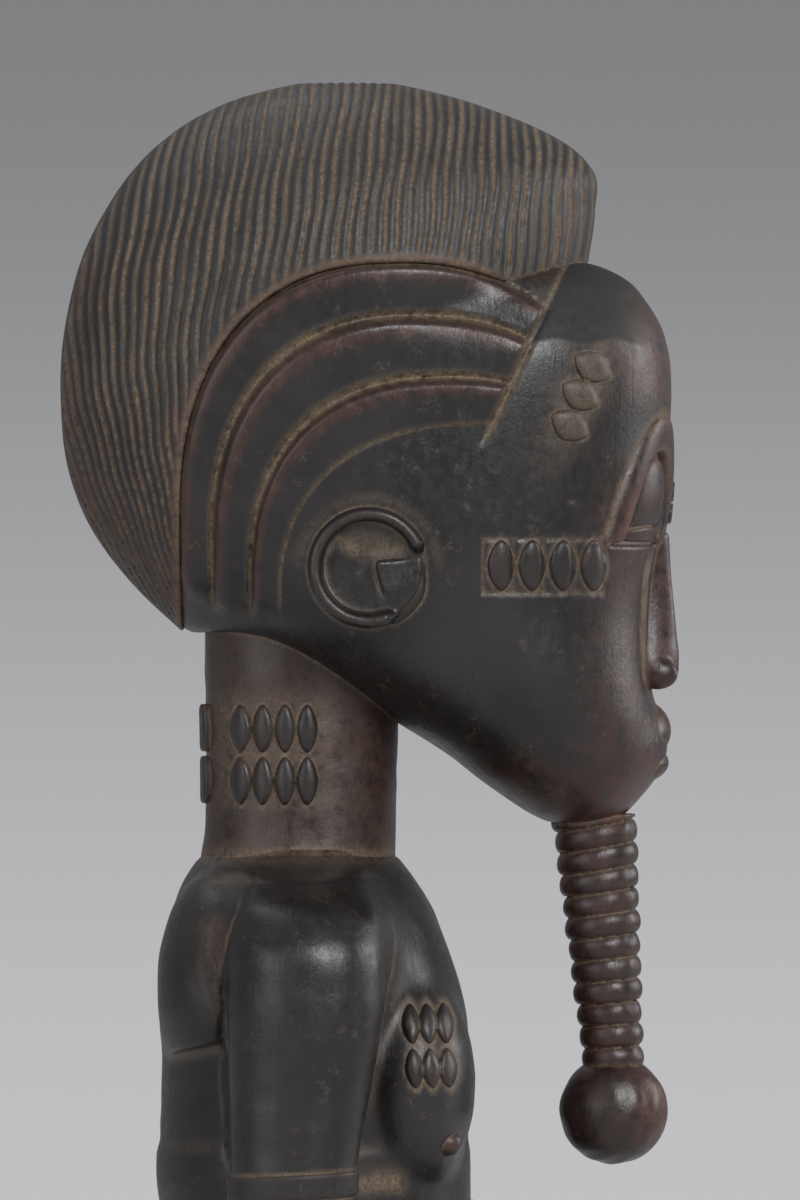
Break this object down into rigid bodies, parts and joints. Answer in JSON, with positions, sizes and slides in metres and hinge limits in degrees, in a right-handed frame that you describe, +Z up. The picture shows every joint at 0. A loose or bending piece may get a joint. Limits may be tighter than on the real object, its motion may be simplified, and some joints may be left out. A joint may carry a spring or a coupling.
{
  "type": "carved wooden figure",
  "caption": "Standing carved wooden ancestor figure with comb-cut crested hair, ringed beard and hands on its belly, on a round base.",
  "frame": {"origin": "middle of the round base's underside", "axes": "+Z up; the face looks along -Y; the figure's right hand is on the -X side"},
  "size_m": [0.119, 0.1353, 0.4801],
  "materials": {
    "skin_wood": "satin, blackened and handled",
    "hair_wood": "matt, comb-cut with pale dust in the cuts",
    "rubbed_wood": "satin, rubbed red-brown on the high places",
    "scar_wood": "satin with pale dust round each bead",
    "cloth_wood": "matt, dusty",
    "base_wood": "matt, tool-marked"
  },
  "bodies": {
    "root": {"abdomen": "skin_wood", "base_disc": "base_wood", "beard_ball": "rubbed_wood", "beard_shaft": "rubbed_wood", "bridge_scars": "scar_wood", "chest": "skin_wood", "hair_crest": "hair_wood", "hairline_scar": "scar_wood", "head": "skin_wood", "hips": "skin_wood", "left_armlet": "cloth_wood", "left_brow": "rubbed_wood", "left_calf": "skin_wood", "left_cheek_scars": "scar_wood", "left_chest_scars": "scar_wood", "left_ear": "rubbed_wood", "left_eye": "rubbed_wood", "left_foot": "skin_wood", "left_forearm": "rubbed_wood", "left_hand": "skin_wood", "left_neck_scars": "scar_wood", "left_nipple": "rubbed_wood", "left_pectoral": "skin_wood", "left_shoulder_blade": "skin_wood", "left_side_braids": "hair_wood", "left_temple_scars": "scar_wood", "left_thigh": "skin_wood", "left_upper_arm": "skin_wood", "lips": "rubbed_wood", "loincloth_back": "cloth_wood", "loincloth_belt": "cloth_wood", "loincloth_front": "cloth_wood", "nape_scars": "scar_wood", "navel": "rubbed_wood", "neck": "skin_wood", "nose": "rubbed_wood", "right_armlet": "cloth_wood", "right_brow": "rubbed_wood", "right_calf": "skin_wood", "right_cheek_scars": "scar_wood", "right_chest_scars": "scar_wood", "right_ear": "rubbed_wood", "right_eye": "rubbed_wood", "right_foot": "skin_wood", "right_forearm": "rubbed_wood", "right_hand": "skin_wood", "right_neck_scars": "scar_wood", "right_nipple": "rubbed_wood", "right_pectoral": "skin_wood", "right_shoulder_blade": "skin_wood", "right_side_braids": "hair_wood", "right_temple_scars": "scar_wood", "right_thigh": "skin_wood", "right_upper_arm": "skin_wood"}
  },
  "joints": []
}
